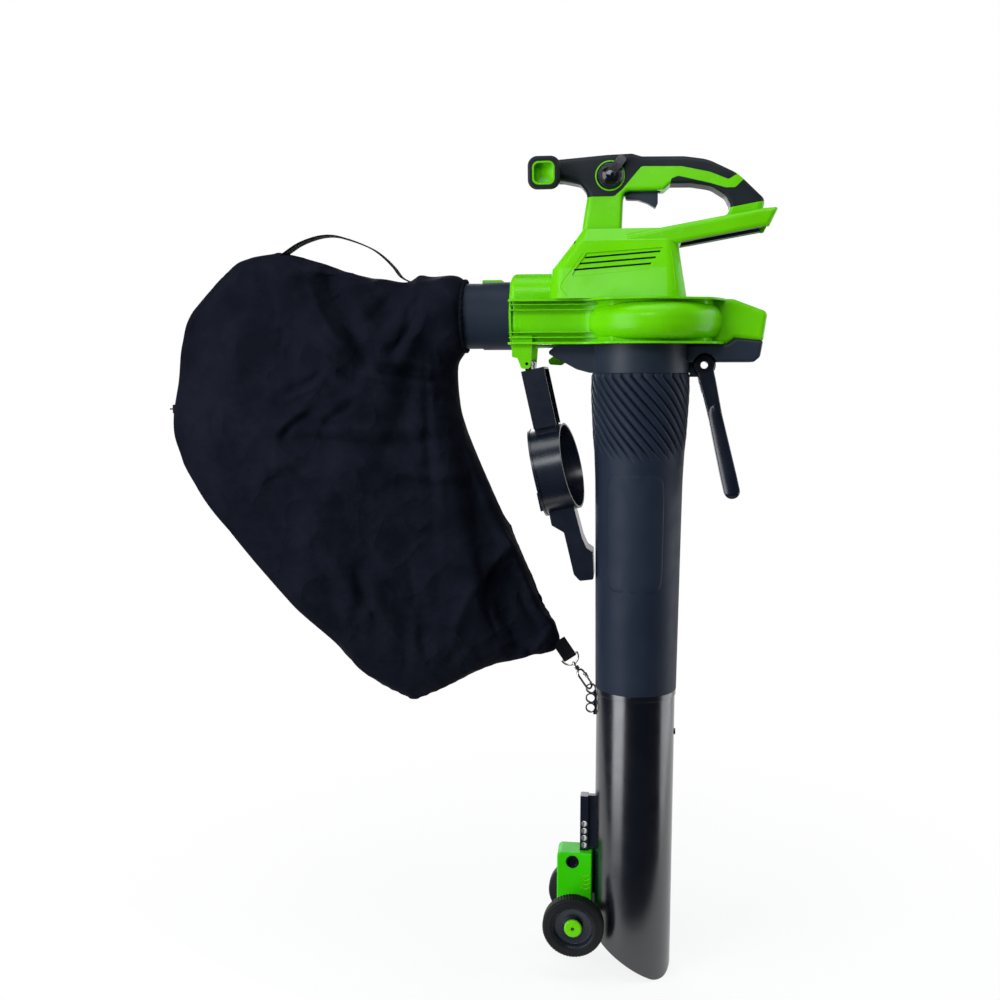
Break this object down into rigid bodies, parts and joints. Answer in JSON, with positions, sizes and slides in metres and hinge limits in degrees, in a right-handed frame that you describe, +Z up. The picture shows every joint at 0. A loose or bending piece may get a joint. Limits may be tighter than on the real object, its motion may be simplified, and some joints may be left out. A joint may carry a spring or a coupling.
{
  "type": "leaf blower vacuum",
  "caption": "Handheld cordless leaf vacuum: motor unit with loop handle and front grip, long suction tube with wheels, and a side collection bag on the outlet.",
  "frame": {"origin": "centre of the main grip", "axes": "+X towards the rear of the tool, where the battery goes; -X towards the outlet and the bag; +Z up along the suction tubes; -Y is the tool's left side"},
  "size_m": [0.808, 0.178, 1.0838],
  "materials": {
    "green": "satin moulded plastic",
    "dark_plastic": "fine texture",
    "tube_plastic": "satin",
    "tube_gloss": "polished",
    "black_gloss": "polished",
    "rubber": "soft overmould",
    "tyre": "dull",
    "bag": "woven polyester",
    "webbing": "woven webbing",
    "steel": "zinc plated",
    "nickel": "nickel plated",
    "motor_steel": "machined",
    "rotor": "laminations",
    "fan_plastic": "glass filled",
    "board": "coated",
    "copper": "plated"
  },
  "bodies": {
    "blower": {"housing_left": "green", "housing_right": "green", "grip_top_overmould": "rubber", "grip_rear_overmould": "rubber", "front_grip_sleeve": "rubber", "front_grip_core": "green", "dial_bezel": "green", "housing_screws": "steel", "trigger_pin": "steel", "trigger_spring": "steel", "trigger_switch": "dark_plastic", "battery_rails": "dark_plastic", "battery_contacts": "copper", "motor_mount": "fan_plastic", "motor_can": "motor_steel", "motor_bearings": "steel", "control_board": "board", "board_spacers": "dark_plastic", "lower_housing": "dark_plastic", "nozzle_tube": "tube_plastic", "upper_tube": "tube_plastic", "lower_tube": "tube_gloss", "cover_hinge_pin": "steel", "cover_spring": "steel", "wheel_rack": "dark_plastic", "leaf_bag": "bag", "bag_cuff": "dark_plastic", "bag_handle_strap": "webbing", "bag_tab": "webbing", "d_ring": "nickel", "hook_swivel": "nickel", "snap_hook": "nickel", "zip_pull": "nickel"},
    "fan": {"motor_shaft": "steel", "motor_rotor": "rotor", "impeller": "fan_plastic", "impeller_nut": "steel"},
    "trigger": {"trigger": "dark_plastic"},
    "cruise_lever": {"cruise_lever": "black_gloss", "cruise_lever_clip": "steel"},
    "nozzle_latch": {"nozzle_latch": "green"},
    "inlet_cover": {"inlet_cover": "black_gloss"},
    "clamp_lever": {"clamp_lever": "black_gloss", "lever_eyelet": "nickel"},
    "wheel_carriage": {"wheel_carriage": "green", "axle": "steel", "axle_spacers": "dark_plastic", "button_spring": "steel"},
    "height_button": {"height_button": "black_gloss"},
    "wheel_left": {"tyre_left": "tyre", "wheel_disc_left": "dark_plastic", "hub_cap_left": "green"},
    "wheel_right": {"tyre_right": "tyre", "wheel_disc_right": "dark_plastic", "hub_cap_right": "green"},
    "snap_gate": {"snap_gate": "nickel"}
  },
  "joints": [
    {"name": "fan_spin", "type": "hinge", "parent": "blower", "child": "fan", "pos_m": [-0.027, 0, -0.17], "axis": [0, 0, 1], "continuous": true},
    {"name": "trigger_pull", "type": "hinge", "parent": "blower", "child": "trigger", "pos_m": [-0.045, 0, -0.0155], "axis": [0, -1, 0], "range_deg": [0, 8], "stiffness_Nm_per_rad": 0.6, "springref_deg": -14.32},
    {"name": "cruise_lever_turn", "type": "hinge", "parent": "blower", "child": "cruise_lever", "pos_m": [-0.0684, -0.02, -0.0064], "axis": [0, 1, 0], "range_deg": [0, 50]},
    {"name": "nozzle_latch_press", "type": "slide", "parent": "blower", "child": "nozzle_latch", "axis": [0, 0, -1], "range_m": [0, 0.003], "stiffness_N_per_m": 400, "springref_m": -0.003},
    {"name": "inlet_cover_swing", "type": "hinge", "parent": "blower", "child": "inlet_cover", "pos_m": [-0.1705, 0, -0.2405], "axis": [0, 1, 0], "range_deg": [0, 7], "stiffness_Nm_per_rad": 0.2, "springref_deg": -34.38},
    {"name": "clamp_lever_swing", "type": "hinge", "parent": "blower", "child": "clamp_lever", "pos_m": [0.0534, 0, -0.2421], "axis": [0, -1, 0], "range_deg": [-13, 40]},
    {"name": "carriage_slide", "type": "slide", "parent": "blower", "child": "wheel_carriage", "axis": [0, 0, 1], "range_m": [-0.0202, 0.0404]},
    {"name": "height_button_press", "type": "slide", "parent": "wheel_carriage", "child": "height_button", "axis": [0, 1, 0], "range_m": [0, 0.0045], "stiffness_N_per_m": 400, "springref_m": -0.003},
    {"name": "wheel_left_spin", "type": "hinge", "parent": "wheel_carriage", "child": "wheel_left", "pos_m": [-0.1047, -0.052, -0.9854], "axis": [0, 1, 0], "continuous": true},
    {"name": "wheel_right_spin", "type": "hinge", "parent": "wheel_carriage", "child": "wheel_right", "pos_m": [-0.1047, 0.052, -0.9854], "axis": [0, 1, 0], "continuous": true},
    {"name": "snap_gate_open", "type": "hinge", "parent": "blower", "child": "snap_gate", "pos_m": [-0.09476, 0.00421, -0.65569], "axis": [-0.6313, 0.6428, -0.4339], "range_deg": [0, 20], "stiffness_Nm_per_rad": 0.02, "springref_deg": -22.92}
  ]
}
